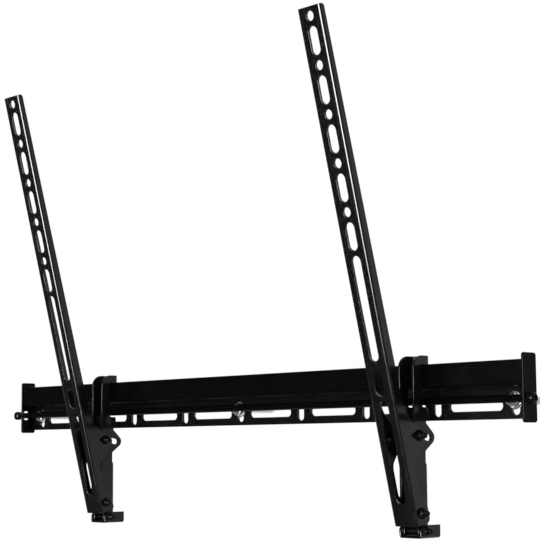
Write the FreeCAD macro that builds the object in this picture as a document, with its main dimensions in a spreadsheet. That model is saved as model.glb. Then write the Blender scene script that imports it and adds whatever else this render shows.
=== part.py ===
"""Tilting wall mount for a flat screen: a folded wall rail, two hooked tilt arms and a lock rod.

Frame: millimetres, +X along the rail, +Y into the wall, +Z up. The wall plane is y = 0 and the
origin is the middle of the rail's back face. The arms stand at full forward tilt.
"""
import FreeCAD
import Part
import math
import os
import Sketcher

V3 = FreeCAD.Vector
doc = FreeCAD.newDocument("TiltMount")
sheet = doc.addObject("Spreadsheet::Sheet", "Sizes")

SIZES = {
    # wall rail, one folded sheet
    "rail_len": 856.0,
    "rail_half": 29.0,
    "sheet_t": 2.5,
    "band_front": 19.5,
    "shelf_z": 2.9,
    "rail_bend": 1.2,
    "slot_pitch": 101.6,
    "lag_slot_w": 8.8,
    "lag_slot_low": 25.0,
    "lag_slot_tall": 18.9,
    "long_slot_len": 68.0,
    "long_slot_w": 10.0,
    "long_slot_low": 20.4,
    # end plates
    "plate_deep": 21.5,
    "plate_top": 35.5,
    "plate_low": 33.0,
    "plate_corner": 3.0,
    "rod_slot_w": 10.0,
    "rod_slot_tall": 12.2,
    # lag bolts and washers
    "lag_z": 10.5,
    "lag_head_af": 13.0,
    "lag_head_h": 5.6,
    "lag_shank_r": 4.0,
    "lag_len": 60.0,
    "lag_tip": 8.0,
    "lag_point_r": 0.4,
    "washer_r": 9.4,
    "washer_t": 1.6,
    "washer_gap": 0.3,
    # lock rod
    "rod_r": 4.0,
    "rod_y": 14.3,
    "rod_z": 9.2,
    "eye_reach": 20.0,
    "eye_half": 5.5,
    "eye_thick": 4.0,
    "eye_hole_r": 3.0,
    "rod_shoulder": 1.0,
    "rod_head_off": 5.8,
    "rod_head_h": 3.4,
    "rod_bore_r": 2.5,
    "rod_bore_deep": 14.0,
    # tilt arm, positions measured from the tilt pivot
    "arm_x_right": 288.5,
    "arm_x_left": -241.5,
    "pivot_y": 29.5,
    "pivot_z": 123.0,
    "tilt_rest": 14.4,
    "arm_half_w": 16.0,
    "face_off": 10.0,
    "arm_up": 524.6,
    "arm_down": 11.7,
    "arm_bend": 2.6,
    "flange_top": 6.6,
    "flange_low": 12.2,
    "hole_edge": 9.6,
    "hole_pitch": 50.0,
    "hole_r": 5.0,
    "arm_slot_w": 12.0,
    "arm_slot_len": 29.0,
    "slot_bridge": 5.5,
    "mid_slot_z": 137.3,
    "mid_slot_len": 25.5,
    "long_b_low": 12.4,
    "throat_z": 101.4,
    "throat_r": 30.0,
    "lobe_y": 30.6,
    "lobe_z": 75.6,
    "lobe_r": 8.0,
    "waist_z": 49.7,
    "waist_r": 12.0,
    "foot_lobe_y": 10.5,
    "foot_lobe_z": 17.0,
    "foot_lobe_r": 5.0,
    # hook bracket
    "hook_half_w": 11.0,
    "hook_t": 3.0,
    "hook_front": 33.3,
    "hook_back": 8.6,
    "hook_rise": 9.5,
    "hook_nose_r": 14.0,
    "hook_corner": 2.4,
    "hook_bend": 2.2,
    "cheek_front": 36.4,
    "cheek_top": 30.0,
    "cheek_low": 62.0,
    "cheek_run": 4.0,
    "band_gap": 0.6,
    "lip_z": 13.0,
    "ledge_z": 14.9,
    "ledge_y": 10.6,
    "ledge_low": 23.0,
    "neck_y": 14.6,
    "neck_z": 31.0,
    "ear_y": 2.1,
    "ear_z": 46.5,
    "ear_r": 7.0,
    "leg_back_up": 16.0,
    "leg_back_low": 13.7,
    "ear_low": 60.0,
    "leg_step": 72.0,
    "toe_front": 35.3,
    "toe_rise": 109.0,
    "toe_top": 113.0,
    "hook_toe_z": 126.0,
    "ankle_z": 133.0,
    "hook_toe_y": 29.5,
    "hook_low": 145.8,
    "cut_past": 10.0,
    # tilt hardware
    "bolt_r": 3.0,
    "run_gap": 0.05,
    "slot_gap": 0.4,
    "hole_gap": 0.2,
    "head_r": 5.4,
    "head_h": 3.0,
    "socket_af": 4.0,
    "socket_deep": 1.8,
    "nut_af": 10.0,
    "nut_h": 3.2,
    "collar_r": 4.4,
    "collar_h": 1.4,
    "bolt_tip": 4.4,
    "tilt_y": 18.0,
    "tilt_z": 76.9,
    "tilt_over": 0.4,
    "spacer_r": 6.5,
    "spacer_gap": 0.05,
    "foot_spacer_r": 4.8,
    # foot bracket
    "foot_t": 2.2,
    "foot_half": 12.8,
    "foot_deep": 30.5,
    "foot_top": 135.0,
    "foot_low": 148.6,
    "foot_bolt_y": 23.3,
    "foot_bolt_z": 141.2,
    "foot_nose": 7.5,
    "foot_bend": 3.2,
}
for row, (alias, number) in enumerate(SIZES.items(), start=1):
    sheet.set("A%d" % row, alias)
    sheet.set("B%d" % row, repr(number))
    sheet.setAlias("B%d" % row, alias)
doc.recompute()

LAG_SLOT_COUNT = 9
HOLE_COUNT = 5
RIM_SHARE = 0.3
CROWN_SHARE = 0.55
NEAR = 0.01


class Size:
    """A number that carries the sheet formula it came from."""

    def __init__(self, value, text):
        self.value = float(value)
        self.text = text

    @staticmethod
    def of(other):
        return other if isinstance(other, Size) else Size(other, repr(float(other)))

    def __add__(self, other):
        other = Size.of(other)
        return Size(self.value + other.value, "(%s + %s)" % (self.text, other.text))

    def __radd__(self, other):
        return Size.of(other) + self

    def __sub__(self, other):
        other = Size.of(other)
        return Size(self.value - other.value, "(%s - %s)" % (self.text, other.text))

    def __rsub__(self, other):
        return Size.of(other) - self

    def __mul__(self, other):
        other = Size.of(other)
        return Size(self.value * other.value, "(%s * %s)" % (self.text, other.text))

    def __rmul__(self, other):
        return Size.of(other) * self

    def __truediv__(self, other):
        other = Size.of(other)
        return Size(self.value / other.value, "(%s / %s)" % (self.text, other.text))

    def __neg__(self):
        return Size(-self.value, "(-1 * %s)" % self.text)


def size(alias):
    """The named size."""
    return Size(SIZES[alias], "Sizes." + alias)


def sine(angle):
    """Sine of an angle in degrees."""
    return Size(math.sin(math.radians(angle.value)), "sin(%s * 1 deg)" % angle.text)


def cosine(angle):
    """Cosine of an angle in degrees."""
    return Size(math.cos(math.radians(angle.value)), "cos(%s * 1 deg)" % angle.text)


def root(number):
    """Square root of a size."""
    return Size(math.sqrt(number.value), "sqrt(%s)" % number.text)


PARTS = []


def new_body(label):
    """A named sub-part."""
    body = doc.addObject("PartDesign::Body", label)
    body.Label = label
    PARTS.append(body)
    return body


def place(body, x=None, y=None, z=None, turn=None, axis=None):
    """Put a sub-part in the shared frame."""
    if axis is not None:
        angle = Size.of(turn)
        body.Placement = FreeCAD.Placement(V3(), FreeCAD.Rotation(V3(*axis), angle.value))
        if isinstance(turn, Size):
            body.setExpression("Placement.Rotation.Angle", "%s * 1 deg" % angle.text)
    for key, amount in (("x", x), ("y", y), ("z", z)):
        if amount is not None:
            body.setExpression("Placement.Base." + key, Size.of(amount).text)


def origin_item(body, role):
    """One of a sub-part's own datum planes or axes."""
    return [item for item in body.Origin.OriginFeatures if item.Role == role][0]


def new_sketch(body, name, plane, lift=None):
    """A sketch on a datum plane, lifted along the plane's normal if asked."""
    sketch = body.newObject("Sketcher::SketchObject", name)
    sketch.AttachmentSupport = (origin_item(body, plane), "")
    sketch.MapMode = "FlatFace"
    if lift is not None:
        lift = Size.of(lift)
        sketch.AttachmentOffset = FreeCAD.Placement(V3(0, 0, lift.value), FreeCAD.Rotation())
        sketch.setExpression("AttachmentOffset.Base.z", lift.text)
    return sketch


def hold(sketch, kind, places, amount):
    """One dimension of a sketch, bound to its formula."""
    amount = Size.of(amount)
    index = sketch.addConstraint(Sketcher.Constraint(kind, *places, amount.value))
    sketch.setExpression("Constraints[%d]" % index, amount.text)


def pin(sketch, geometry, point, x, y):
    """Fix a point of a sketch by its two coordinates."""
    hold(sketch, "DistanceX", (-1, 1, geometry, point), x)
    hold(sketch, "DistanceY", (-1, 1, geometry, point), y)


def polygon(sketch, points):
    """A closed outline through the points."""
    points = [(Size.of(a), Size.of(b)) for a, b in points]
    count = len(points)
    first = sketch.GeometryCount
    for i in range(count):
        a = points[i]
        b = points[(i + 1) % count]
        line = Part.LineSegment(V3(a[0].value, a[1].value, 0), V3(b[0].value, b[1].value, 0))
        sketch.addGeometry(line, False)
    for i in range(count):
        after = first + (i + 1) % count
        sketch.addConstraint(Sketcher.Constraint("Coincident", first + i, 2, after, 1))
    for i in range(count):
        pin(sketch, first + i, 1, points[i][0], points[i][1])


def circle(sketch, x, y, radius):
    """A circle by centre and radius."""
    x, y, radius = Size.of(x), Size.of(y), Size.of(radius)
    index = sketch.addGeometry(Part.Circle(V3(x.value, y.value, 0), V3(0, 0, 1), radius.value), False)
    pin(sketch, index, 3, x, y)
    hold(sketch, "Radius", (index,), radius)


def slot(sketch, x0, y0, x1, y1, radius):
    """A round-ended slot between two end centres, along X or along Y."""
    x0, y0, x1, y1, radius = [Size.of(item) for item in (x0, y0, x1, y1, radius)]
    a = V3(x0.value, y0.value, 0)
    b = V3(x1.value, y1.value, 0)
    r = radius.value
    run = (b - a).normalize()
    side = V3(-run.y, run.x, 0) * r
    base = math.atan2(run.y, run.x)
    up = V3(0, 0, 1)
    half = math.pi / 2
    g = sketch.GeometryCount
    sketch.addGeometry(Part.ArcOfCircle(Part.Circle(a, up, r), base + half, base + 3 * half), False)
    sketch.addGeometry(Part.LineSegment(a - side, b - side), False)
    sketch.addGeometry(Part.ArcOfCircle(Part.Circle(b, up, r), base - half, base + half), False)
    sketch.addGeometry(Part.LineSegment(b + side, a + side), False)
    for i in range(4):
        sketch.addConstraint(Sketcher.Constraint("Tangent", g + i, 2, g + (i + 1) % 4, 1))
    pin(sketch, g, 3, x0, y0)
    pin(sketch, g + 2, 3, x1, y1)
    hold(sketch, "Radius", (g,), radius)


def hexagon(sketch, flats):
    """A hexagon about the sketch's own origin, by the width across its flats."""
    corner = Size.of(flats) / (2 * math.cos(math.pi / 6))
    spots = []
    for i in range(6):
        angle = math.radians(60 * i)
        spots.append((corner * round(math.cos(angle), 9), corner * round(math.sin(angle), 9)))
    polygon(sketch, spots)


def pad(body, sketch, length, name, both=False, back=False):
    """Thicken a sketch."""
    feature = body.newObject("PartDesign::Pad", name)
    feature.Profile = sketch
    length = Size.of(length)
    feature.Length = length.value
    feature.setExpression("Length", length.text)
    if both:
        feature.SideType = "Symmetric"
    feature.Reversed = back
    body.Tip = feature
    return feature


def pocket(body, sketch, name, length=None, both=True, back=False):
    """Cut a sketch out, right through both ways unless a depth is given."""
    feature = body.newObject("PartDesign::Pocket", name)
    feature.Profile = sketch
    if both:
        feature.SideType = "Symmetric"
    if length is None:
        feature.Type = "ThroughAll"
    else:
        length = Size.of(length)
        feature.Length = length.value
        feature.setExpression("Length", length.text)
    feature.Reversed = back
    body.Tip = feature
    return feature


def row_of(body, feature, axis, count, step, name, back=False):
    """Repeat a cut along an axis."""
    pattern = body.newObject("PartDesign::LinearPattern", name)
    pattern.Originals = [feature]
    pattern.Direction = (origin_item(body, axis), [""])
    pattern.Mode = "Spacing"
    step = Size.of(step)
    pattern.Offset = step.value
    pattern.setExpression("Offset", step.text)
    pattern.Occurrences = count
    pattern.Reversed = back
    body.Tip = pattern
    return pattern


def spin(body, sketch, axis, name):
    """Turn a sketch about one of the sub-part's own axes."""
    feature = body.newObject("PartDesign::Revolution", name)
    feature.Profile = sketch
    feature.ReferenceAxis = (origin_item(body, axis), [""])
    feature.Angle = 360.0
    body.Tip = feature
    return feature


def round_edges(body, base, radius, name, wanted):
    """Round the edges that a test picks."""
    doc.recompute()
    names = []
    for i, edge in enumerate(base.Shape.Edges, start=1):
        if wanted(edge):
            names.append("Edge%d" % i)
    if not names:
        raise RuntimeError("no edge to round for " + body.Label + " " + name)
    feature = body.newObject("PartDesign::Fillet", name)
    feature.Base = (base, names)
    radius = Size.of(radius)
    feature.Radius = radius.value
    feature.setExpression("Radius", radius.text)
    body.Tip = feature
    return feature


def along(edge, axis):
    """Is the edge straight and parallel to an axis?"""
    if edge.Curve.TypeId != "Part::GeomLine":
        return False
    return abs(abs(edge.Curve.Direction.dot(axis)) - 1) < 1e-6


def cross_edge_at(*spots):
    """A test for edges along X that pass through the given (y, z) spots."""
    wanted = [(Size.of(a).value, Size.of(b).value) for a, b in spots]

    def test(edge):
        if not along(edge, V3(1, 0, 0)):
            return False
        middle = edge.CenterOfMass
        return any(math.hypot(middle.y - a, middle.z - b) < NEAR for a, b in wanted)

    return test


def build_rail():
    """The folded wall rail with its lag slots and long slots."""
    body = new_body("wall_rail")
    half = size("rail_half")
    t = size("sheet_t")
    front = size("band_front")
    shelf = size("shelf_z")
    outline = new_sketch(body, "RailOutline", "YZ_Plane")
    polygon(outline, [
        (0, -half),
        (-t, -half),
        (-t, shelf),
        (-front, shelf),
        (-front, half),
        (t - front, half),
        (t - front, shelf + t),
        (0, shelf + t),
    ])
    plate = pad(body, outline, size("rail_len"), "RailSheet", both=True)
    inner = round_edges(body, plate, size("rail_bend"), "RailInnerBends",
                        cross_edge_at((-t, shelf), (t - front, shelf + t)))
    outer = round_edges(body, inner, size("rail_bend") + t, "RailOuterBends",
                        cross_edge_at((-front, shelf), (0, shelf + t)))
    radius = size("lag_slot_w") / 2
    low = radius - size("lag_slot_low")
    lag = new_sketch(body, "LagSlot", "XZ_Plane")
    first = -(LAG_SLOT_COUNT - 1) / 2 * size("slot_pitch")
    slot(lag, first, low, first, low + size("lag_slot_tall") - size("lag_slot_w"), radius)
    cut = pocket(body, lag, "LagSlotCut")
    row_of(body, cut, "X_Axis", LAG_SLOT_COUNT, size("slot_pitch"), "LagSlotRow")
    radius = size("long_slot_w") / 2
    middle = radius - size("long_slot_low")
    reach = size("long_slot_len") / 2 - radius
    first = first + size("slot_pitch") / 2
    long = new_sketch(body, "LongSlot", "XZ_Plane")
    slot(long, first - reach, middle, first + reach, middle, radius)
    cut = pocket(body, long, "LongSlotCut")
    row_of(body, cut, "X_Axis", LAG_SLOT_COUNT - 1, size("slot_pitch"), "LongSlotRow")
    place(body, x=0, y=0, z=0)


def build_end_plate(label, side):
    """A plate that closes one end of the rail and carries the rod."""
    body = new_body(label)
    outline = new_sketch(body, "PlateOutline", "YZ_Plane")
    deep = -size("plate_deep")
    top = size("plate_top")
    low = -size("plate_low")
    polygon(outline, [(0, low), (deep, low), (deep, top), (0, top)])
    plate = pad(body, outline, size("sheet_t"), "PlateSheet", back=side < 0)
    round_edges(body, plate, size("plate_corner"), "PlateCorners", cross_edge_at((deep, low), (deep, top)))
    opening = new_sketch(body, "RodOpening", "YZ_Plane")
    radius = size("rod_slot_w") / 2
    reach = size("rod_slot_tall") / 2 - radius
    middle = -size("rod_z")
    slot(opening, -size("rod_y"), middle - reach, -size("rod_y"), middle + reach, radius)
    pocket(body, opening, "RodOpeningCut")
    place(body, x=side * size("rail_len") / 2, y=0, z=0)


def build_lag(suffix, x):
    """A hex lag bolt and its washer, on one lag slot."""
    seat = size("sheet_t")
    bore = size("lag_shank_r") + size("washer_gap")
    ring = new_body("lag_washer_" + suffix)
    face = new_sketch(ring, "WasherRing", "XZ_Plane")
    circle(face, 0, 0, size("washer_r"))
    circle(face, 0, 0, bore)
    pad(ring, face, size("washer_t"), "WasherBody")
    place(ring, x=x, y=-seat, z=-size("lag_z"))
    bolt = new_body("lag_bolt_" + suffix)
    head = new_sketch(bolt, "LagHead", "XY_Plane")
    hexagon(head, size("lag_head_af"))
    pad(bolt, head, size("lag_head_h"), "LagHeadBody")
    shank = new_sketch(bolt, "LagShank", "XZ_Plane")
    r = size("lag_shank_r")
    length = size("lag_len")
    top = size("lag_head_h")
    polygon(shank, [(0, top), (r, top), (r, size("lag_tip") - length), (size("lag_point_r"), -length),
                    (0, -length)])
    spin(bolt, shank, "Z_Axis", "LagShankBody")
    place(bolt, x=x, y=-seat - size("washer_t"), z=-size("lag_z"), turn=90.0, axis=(1, 0, 0))


def build_rod():
    """The lock rod with its flattened eye, and the screw that heads its other end."""
    body = new_body("lock_rod")
    half = size("rail_len") / 2
    t = size("sheet_t")
    r = size("rod_r")
    eye_x = -half - t - size("eye_reach")
    end_x = half - size("rod_shoulder")
    bar = new_sketch(body, "RodSection", "YZ_Plane", lift=end_x)
    circle(bar, 0, 0, r)
    pad(body, bar, end_x - eye_x - size("eye_half"), "RodBar", back=True)
    flat = new_sketch(body, "EyeOutline", "XZ_Plane")
    slot(flat, eye_x, 0, eye_x + size("eye_half"), 0, size("eye_half"))
    pad(body, flat, size("eye_thick"), "EyeFlat", both=True)
    hole = new_sketch(body, "EyeHole", "XZ_Plane")
    circle(hole, eye_x, 0, size("eye_hole_r"))
    pocket(body, hole, "EyeHoleCut")
    bore = new_sketch(body, "RodBore", "YZ_Plane", lift=end_x)
    circle(bore, 0, 0, size("rod_bore_r"))
    pocket(body, bore, "RodBoreCut", length=size("rod_bore_deep"), both=False)
    place(body, x=0, y=-size("rod_y"), z=-size("rod_z"))
    seat_x = half + t + size("rod_head_off")
    length = seat_x - end_x + size("rod_bore_deep")
    build_button("rod_head_screw", size("rod_bore_r"), length, size("rod_head_h"), seat_x, -size("rod_y"),
                 -size("rod_z"), 1)


def build_button(label, shank, length, tall, x, y, z, side):
    """A button-head screw along X, its seat at the given spot and its head to that side."""
    body = new_body(label)
    head = size("head_r")
    profile = new_sketch(body, "ScrewProfile", "XZ_Plane")
    polygon(profile, [(0, -length), (shank, -length), (shank, 0), (head, 0), (head, tall * RIM_SHARE),
                      (head * CROWN_SHARE, tall), (0, tall)])
    spin(body, profile, "Z_Axis", "ScrewBody")
    key = new_sketch(body, "Socket", "XY_Plane", lift=tall)
    hexagon(key, size("socket_af"))
    pocket(body, key, "SocketCut", length=size("socket_deep"), both=False)
    place(body, x=x, y=y, z=z, turn=90.0 * side, axis=(0, 1, 0))


def build_ring(label, outer, inner, thick, x, y, z):
    """A plain ring across X, starting at x and growing to +X."""
    body = new_body(label)
    face = new_sketch(body, "Ring", "YZ_Plane")
    circle(face, 0, 0, outer)
    circle(face, 0, 0, inner)
    pad(body, face, thick, "RingBody")
    place(body, x=x, y=y, z=z)


def build_nut(label, x, y, z):
    """A hex lock nut across X with a round collar, its seat at x and growing to +X."""
    body = new_body(label)
    face = new_sketch(body, "NutFace", "YZ_Plane")
    hexagon(face, size("nut_af"))
    circle(face, 0, 0, size("bolt_r"))
    pad(body, face, size("nut_h"), "NutBody")
    rim = new_sketch(body, "NutCollar", "YZ_Plane", lift=size("nut_h"))
    circle(rim, 0, 0, size("collar_r"))
    circle(rim, 0, 0, size("bolt_r"))
    pad(body, rim, size("collar_h"), "NutCollarBody")
    place(body, x=x, y=y, z=z)


def build_fastener(kind, side, x, half, y, z):
    """A bolt across two sheets: its head on the left sheet, its lock nut and bare tip on the right one."""
    length = 2 * half + size("nut_h") + size("collar_h") + size("bolt_tip")
    build_button(kind + "_bolt_" + side, size("bolt_r"), length, size("head_h"), x - half, y, z, -1)
    build_nut(kind + "_nut_" + side, x + half, y, z)


def build_spacers(kind, side, x, inner, y, z, outer):
    """The two rings that fill the gaps between the outer sheets and the hook's side plates."""
    thick = inner - size("hook_half_w") - size("spacer_gap")
    bore = size("bolt_r") + size("hole_gap")
    build_ring(kind + "_spacer_head_" + side, outer, bore, thick, x - inner, y, z)
    build_ring(kind + "_spacer_nut_" + side, outer, bore, thick, x + inner - thick, y, z)


def build_arm(side, x):
    """The perforated channel that carries one side of the screen."""
    body = new_body("arm_channel_" + side)
    t = size("sheet_t")
    face = -size("face_off")
    up = size("arm_up")
    down = -size("arm_down")
    edge_top = face + size("flange_top")
    edge_low = face + size("flange_low")
    throat = (edge_low, size("throat_z"))
    lobe = (size("lobe_y"), size("lobe_z"))
    waist = (edge_low, size("waist_z"))
    knee = (edge_low, size("foot_lobe_z"))
    heel = (size("foot_lobe_y"), size("foot_lobe_z") - size("foot_lobe_y") + edge_low)
    toe = (size("foot_lobe_y"), down)
    outline = new_sketch(body, "ArmOutline", "YZ_Plane")
    polygon(outline, [(face, down), (face, up), (edge_top, up), throat, lobe, waist, knee, heel, toe])
    blank = pad(body, outline, 2 * size("arm_half_w"), "ArmBlank", both=True)
    step = round_edges(body, blank, size("throat_r"), "ThroatArc", cross_edge_at(throat))
    step = round_edges(body, step, size("lobe_r"), "LobeArc", cross_edge_at(lobe))
    step = round_edges(body, step, size("waist_r"), "WaistArc", cross_edge_at(waist))
    step = round_edges(body, step, size("foot_lobe_r"), "HeelArcs", cross_edge_at(knee, heel, toe))
    wide = size("arm_half_w").value

    def bend(edge):
        """Is the edge an outer corner between the web and a flange?"""
        if not along(edge, V3(0, 0, 1)):
            return False
        middle = edge.CenterOfMass
        return abs(abs(middle.x) - wide) < NEAR and abs(middle.y - face.value) < NEAR

    round_edges(body, step, size("arm_bend"), "ArmBends", bend)
    inside = new_sketch(body, "ChannelInside", "YZ_Plane")
    past = size("cut_past")
    rear = size("lobe_y") + past
    polygon(inside, [(face + t, down - past), (rear, down - past), (rear, up + past), (face + t, up + past)])
    pocket(body, inside, "ChannelCut", length=2 * (size("arm_half_w") - t))
    first = up - size("hole_edge")
    pitch = size("hole_pitch")
    radius = size("arm_slot_w") / 2
    reach = size("arm_slot_len") / 2 - radius
    grid = new_sketch(body, "HoleAndSlot", "XZ_Plane")
    circle(grid, 0, first, size("hole_r"))
    middle = first - pitch / 2
    slot(grid, 0, middle - reach, 0, middle + reach, radius)
    row_of(body, pocket(body, grid, "HoleAndSlotCut"), "Z_Axis", HOLE_COUNT, pitch, "HoleRow", back=True)
    bridge = size("slot_bridge")
    last = middle - (HOLE_COUNT - 1) * pitch - reach - radius
    mid = size("mid_slot_z")
    mid_reach = size("mid_slot_len") / 2
    lower = new_sketch(body, "LowerSlots", "XZ_Plane")
    slot(lower, 0, mid + mid_reach + 2 * bridge + radius, 0, last - bridge - radius, radius)
    slot(lower, 0, mid - mid_reach + radius, 0, mid + mid_reach - radius, radius)
    slot(lower, 0, size("long_b_low") + radius, 0, mid - mid_reach - bridge - radius, radius)
    pocket(body, lower, "LowerSlotsCut")
    bolts = new_sketch(body, "BoltHoles", "YZ_Plane")
    circle(bolts, 0, 0, size("bolt_r") + size("hole_gap"))
    circle(bolts, size("tilt_y"), size("tilt_z"), size("bolt_r") + size("hole_gap"))
    pocket(body, bolts, "BoltHolesCut")
    place(body, x=x, y=-size("pivot_y"), z=-size("pivot_z"), turn=size("tilt_rest"), axis=(1, 0, 0))


def build_hook(side, x):
    """The bracket that hangs on the rail's band and carries the tilt pivot of one arm."""
    body = new_body("hook_bracket_" + side)
    py = size("pivot_y")
    pz = size("pivot_z")

    def spot(y, z):
        return (py + y, pz + z)

    t = size("sheet_t")
    front = -size("hook_front")
    back = -size("hook_back")
    band = size("rail_half")
    top = band + size("hook_rise")
    notch_back = t - size("band_front") + size("band_gap")
    notch_front = -size("band_front") - size("band_gap")
    nose = spot(front, top)
    crown = spot(back, top)
    lip = [spot(back, size("lip_z")), spot(notch_back, size("lip_z"))]
    pit = spot(notch_front, -size("ledge_z"))
    ledge = spot(-size("ledge_y"), -size("ledge_z"))
    under = spot(-size("ledge_y"), -size("ledge_low"))
    neck = spot(-size("neck_y"), -size("neck_z"))
    ear = spot(size("ear_y"), -size("ear_z"))
    arm_pit = spot(-size("leg_back_up"), -size("ear_low"))
    step_up = spot(-size("leg_back_up"), -size("leg_step"))
    step_z = -size("leg_step") + size("leg_back_low") - size("leg_back_up")
    step_low = spot(-size("leg_back_low"), step_z)
    heel = spot(-size("leg_back_low"), -size("hook_low"))
    cheek = -size("cheek_front")
    run = size("cheek_run")
    outline = new_sketch(body, "HookOutline", "YZ_Plane")
    polygon(outline, [
        spot(-size("toe_front"), -size("hook_toe_z")),
        spot(-size("toe_front"), -size("toe_top")),
        spot(front, -size("toe_rise")),
        spot(front, -size("cheek_low") - run),
        spot(cheek, -size("cheek_low")),
        spot(cheek, -size("cheek_top") - run),
        spot(front, -size("cheek_top")),
        nose,
        crown,
        lip[0],
        lip[1],
        spot(notch_back, band),
        spot(notch_front, band),
        pit,
        ledge,
        under,
        neck,
        ear,
        arm_pit,
        step_up,
        step_low,
        heel,
        spot(-size("hook_toe_y"), -size("hook_low")),
        spot(-size("hook_toe_y"), -size("ankle_z")),
    ])
    blank = pad(body, outline, 2 * size("hook_half_w"), "HookBlank", both=True)
    step = round_edges(body, blank, size("hook_nose_r"), "HookNose", cross_edge_at(nose))
    step = round_edges(body, step, size("ear_r"), "HookEar", cross_edge_at(ear))
    step = round_edges(body, step, size("hook_corner"), "HookCorners",
                       cross_edge_at(lip[1], pit, ledge, under, arm_pit))
    wide = size("hook_half_w").value
    rear = (crown[0].value, heel[0].value)

    def bend(edge):
        """Is the edge an outer corner between a side plate and one of the two rear webs?"""
        middle = edge.CenterOfMass
        at_rear = any(abs(middle.y - y) < NEAR for y in rear)
        return along(edge, V3(0, 0, 1)) and abs(abs(middle.x) - wide) < NEAR and at_rear

    round_edges(body, step, size("hook_bend"), "HookBends", bend)
    inside = new_sketch(body, "HookInside", "YZ_Plane")
    past = size("cut_past")
    low = -size("hook_low") - past
    upper_web = back - size("hook_t")
    lower_web = -size("leg_back_low") - size("hook_t")
    polygon(inside, [
        spot(-size("cheek_front") - past, top + past),
        spot(upper_web, top + past),
        spot(upper_web, 0),
        spot(size("ear_y") + past, 0),
        spot(size("ear_y") + past, step_z),
        spot(lower_web, step_z),
        spot(lower_web, low),
        spot(-size("cheek_front") - past, low),
    ])
    pocket(body, inside, "HookInsideCut", length=2 * (size("hook_half_w") - size("hook_t")))
    radius = root(size("tilt_y") * size("tilt_y") + size("tilt_z") * size("tilt_z"))
    width = size("bolt_r") + size("slot_gap")
    aim = math.degrees(math.atan2(SIZES["tilt_z"], SIZES["tilt_y"]))
    lean = Size(90.0 - aim, "(atan(Sizes.tilt_y / Sizes.tilt_z) / 1 deg)")
    groove_sketch = new_sketch(body, "TiltSlotSection", "XZ_Plane")
    reach = size("hook_half_w") + size("cut_past")
    polygon(groove_sketch, [(-reach, radius - width), (reach, radius - width), (reach, radius + width),
                            (-reach, radius + width)])
    groove = body.newObject("PartDesign::Groove", "TiltSlotArc")
    groove.Profile = groove_sketch
    groove.ReferenceAxis = (origin_item(body, "X_Axis"), [""])
    groove.Type = "TwoAngles"
    ahead = size("tilt_rest") - lean
    behind = lean + size("tilt_over")
    groove.Angle = ahead.value
    groove.Angle2 = behind.value
    groove.setExpression("Angle", ahead.text + " * 1 deg")
    groove.setExpression("Angle2", behind.text + " * 1 deg")
    body.Tip = groove
    holes = new_sketch(body, "TiltSlotEnds", "YZ_Plane")
    circle(holes, -(radius * sine(ahead)), radius * cosine(ahead), width)
    circle(holes, radius * sine(behind), radius * cosine(behind), width)
    circle(holes, 0, 0, size("bolt_r") + size("run_gap"))
    circle(holes, py - size("foot_bolt_y"), pz - size("foot_bolt_z"), size("bolt_r") + size("hole_gap"))
    pocket(body, holes, "HookHoles")
    place(body, x=x, y=-py, z=-pz)


def build_foot(side, x):
    """The saddle at the hook's lower end: a floor and two ears that reach back to the wall."""
    body = new_body("foot_bracket_" + side)
    t = size("foot_t")
    inner = size("foot_half")
    outer = inner + t
    top = -size("foot_top")
    low = -size("foot_low")
    section = new_sketch(body, "FootSection", "XZ_Plane")
    polygon(section, [
        (-outer, top),
        (-outer, low),
        (outer, low),
        (outer, top),
        (inner, top),
        (inner, low + t),
        (-inner, low + t),
        (-inner, top),
    ])
    channel = pad(body, section, size("foot_deep"), "FootChannel")
    wide = outer.value

    def bend(edge):
        """Is the edge an outer corner between the floor and an ear?"""
        middle = edge.CenterOfMass
        at_floor = abs(middle.z - low.value) < NEAR
        return along(edge, V3(0, 1, 0)) and abs(abs(middle.x) - wide) < NEAR and at_floor

    step = round_edges(body, channel, size("foot_bend"), "FootBends", bend)
    round_edges(body, step, size("foot_nose"), "FootNoses", cross_edge_at((-size("foot_deep"), top)))
    bolt_y = -size("foot_bolt_y")
    bolt_z = -size("foot_bolt_z")
    hole = new_sketch(body, "FootHole", "YZ_Plane")
    circle(hole, bolt_y, bolt_z, size("bolt_r") + size("hole_gap"))
    pocket(body, hole, "FootHoleCut")
    place(body, x=x, y=0, z=0)
    build_fastener("foot", side, x, outer, bolt_y, bolt_z)
    build_spacers("foot", side, x, inner, bolt_y, bolt_z, size("foot_spacer_r"))


def build_tilt_hardware(side, x):
    """The pivot bolt and the tilt lock bolt of one arm, with their nuts and spacers."""
    wide = size("arm_half_w")
    py = -size("pivot_y")
    pz = -size("pivot_z")
    turn = size("tilt_rest")
    ty = py + size("tilt_y") * cosine(turn) - size("tilt_z") * sine(turn)
    tz = pz + size("tilt_y") * sine(turn) + size("tilt_z") * cosine(turn)
    for kind, y, z in (("pivot", py, pz), ("tilt", ty, tz)):
        build_fastener(kind, side, x, wide, y, z)
        build_spacers(kind, side, x, wide - size("sheet_t"), y, z, size("spacer_r"))


build_rail()
build_end_plate("end_plate_left", -1)
build_end_plate("end_plate_right", 1)
for tag, end in (("left", -1), ("centre", 0), ("right", 1)):
    build_lag(tag, end * (LAG_SLOT_COUNT - 1) / 2 * size("slot_pitch"))
build_rod()
for tag in ("left", "right"):
    spot_x = size("arm_x_" + tag)
    build_arm(tag, spot_x)
    build_hook(tag, spot_x)
    build_foot(tag, spot_x)
    build_tilt_hardware(tag, spot_x)
doc.recompute()

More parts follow.
